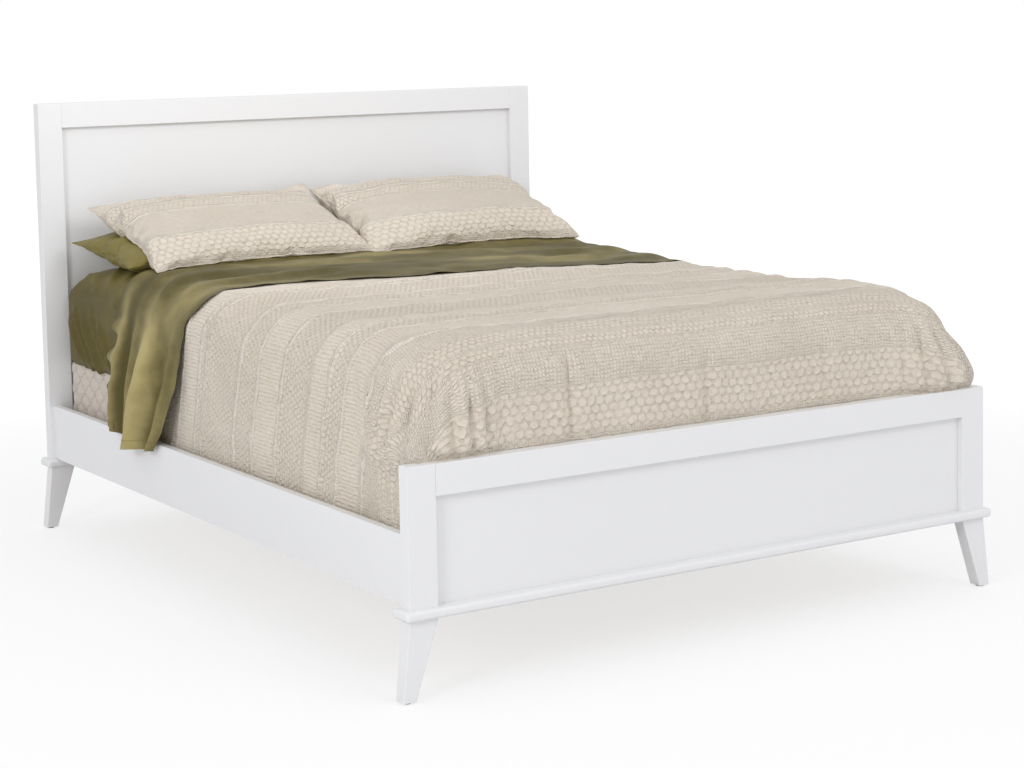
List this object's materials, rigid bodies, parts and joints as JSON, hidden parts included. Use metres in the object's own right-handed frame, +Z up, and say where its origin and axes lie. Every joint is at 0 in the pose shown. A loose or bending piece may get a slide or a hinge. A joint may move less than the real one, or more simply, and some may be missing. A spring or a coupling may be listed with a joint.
{
  "type": "panel bed",
  "caption": "Queen panel bed with framed headboard and low footboard on splayed legs, side rails, slats, box spring, mattress, sheets, coverlet, pillows and shams.",
  "frame": {"origin": "on the floor, in the middle of the bed's length and width", "axes": "+X to the right seen from the foot, +Y from foot to head, +Z up"},
  "size_m": [1.68, 2.158, 1.219],
  "materials": {
    "white_paint": "white satin paint on hardwood",
    "slat_pine": "planed, unfinished",
    "dowel_beech": "unfinished",
    "zinc_steel": "zinc plated",
    "glide_plastic": "moulded",
    "ticking": "quilted woven ticking",
    "olive_sateen": "sateen with a soft sheen",
    "cream_matelasse": "raised woven bands"
  },
  "bodies": {
    "frame": {"beam_screws": "zinc_steel", "centre_beam": "slat_pine", "centre_bolt": "zinc_steel", "centre_leg": "slat_pine", "footboard_base": "white_paint", "footboard_glide_left": "glide_plastic", "footboard_glide_right": "glide_plastic", "footboard_hook_plate_left": "zinc_steel", "footboard_hook_plate_right": "zinc_steel", "footboard_leg_left": "white_paint", "footboard_leg_right": "white_paint", "footboard_panel": "white_paint", "footboard_slot_plate_left": "zinc_steel", "footboard_slot_plate_right": "zinc_steel", "footboard_stile_left": "white_paint", "footboard_stile_right": "white_paint", "footboard_top_rail": "white_paint", "headboard_base": "white_paint", "headboard_glide_left": "glide_plastic", "headboard_glide_right": "glide_plastic", "headboard_hook_plate_left": "zinc_steel", "headboard_hook_plate_right": "zinc_steel", "headboard_leg_left": "white_paint", "headboard_leg_right": "white_paint", "headboard_panel": "white_paint", "headboard_slot_plate_left": "zinc_steel", "headboard_slot_plate_right": "zinc_steel", "headboard_stile_left": "white_paint", "headboard_stile_right": "white_paint", "headboard_top_rail": "white_paint", "ledger_screws": "zinc_steel", "leg_bolts": "zinc_steel", "leg_dowels": "dowel_beech", "leveller_insert": "zinc_steel", "plate_screws": "zinc_steel", "side_rail_left": "white_paint", "side_rail_right": "white_paint", "slat_1": "slat_pine", "slat_2": "slat_pine", "slat_3": "slat_pine", "slat_4": "slat_pine", "slat_5": "slat_pine", "slat_ledger_left": "slat_pine", "slat_ledger_right": "slat_pine", "slat_screws": "zinc_steel"},
    "box_spring_body": {"box_spring": "ticking"},
    "mattress_body": {"mattress": "ticking", "fitted_sheet": "olive_sateen", "flat_sheet": "olive_sateen", "coverlet": "cream_matelasse"},
    "pillow_left_body": {"pillow_left": "olive_sateen"},
    "pillow_right_body": {"pillow_right": "olive_sateen"},
    "sham_left_body": {"sham_left": "cream_matelasse"},
    "sham_right_body": {"sham_right": "cream_matelasse"},
    "leveller_body": {"leveller": "zinc_steel"}
  },
  "joints": [
    {"name": "box_spring_lift", "type": "slide", "parent": "frame", "child": "box_spring_body", "axis": [0, 0, 1], "range_m": [0, 0.12]},
    {"name": "mattress_lift", "type": "slide", "parent": "box_spring_body", "child": "mattress_body", "axis": [0, 0, 1], "range_m": [0, 0.2]},
    {"name": "pillow_left_lift", "type": "slide", "parent": "mattress_body", "child": "pillow_left_body", "axis": [0, 0, 1], "range_m": [0, 0.15]},
    {"name": "pillow_right_lift", "type": "slide", "parent": "mattress_body", "child": "pillow_right_body", "axis": [0, 0, 1], "range_m": [0, 0.15]},
    {"name": "sham_left_lift", "type": "slide", "parent": "pillow_left_body", "child": "sham_left_body", "axis": [0, 0, 1], "range_m": [0, 0.15]},
    {"name": "sham_right_lift", "type": "slide", "parent": "pillow_right_body", "child": "sham_right_body", "axis": [0, 0, 1], "range_m": [0, 0.15]},
    {"name": "leveller_screw", "type": "slide", "parent": "frame", "child": "leveller_body", "axis": [0, 0, 1], "range_m": [0, 0.014]}
  ]
}
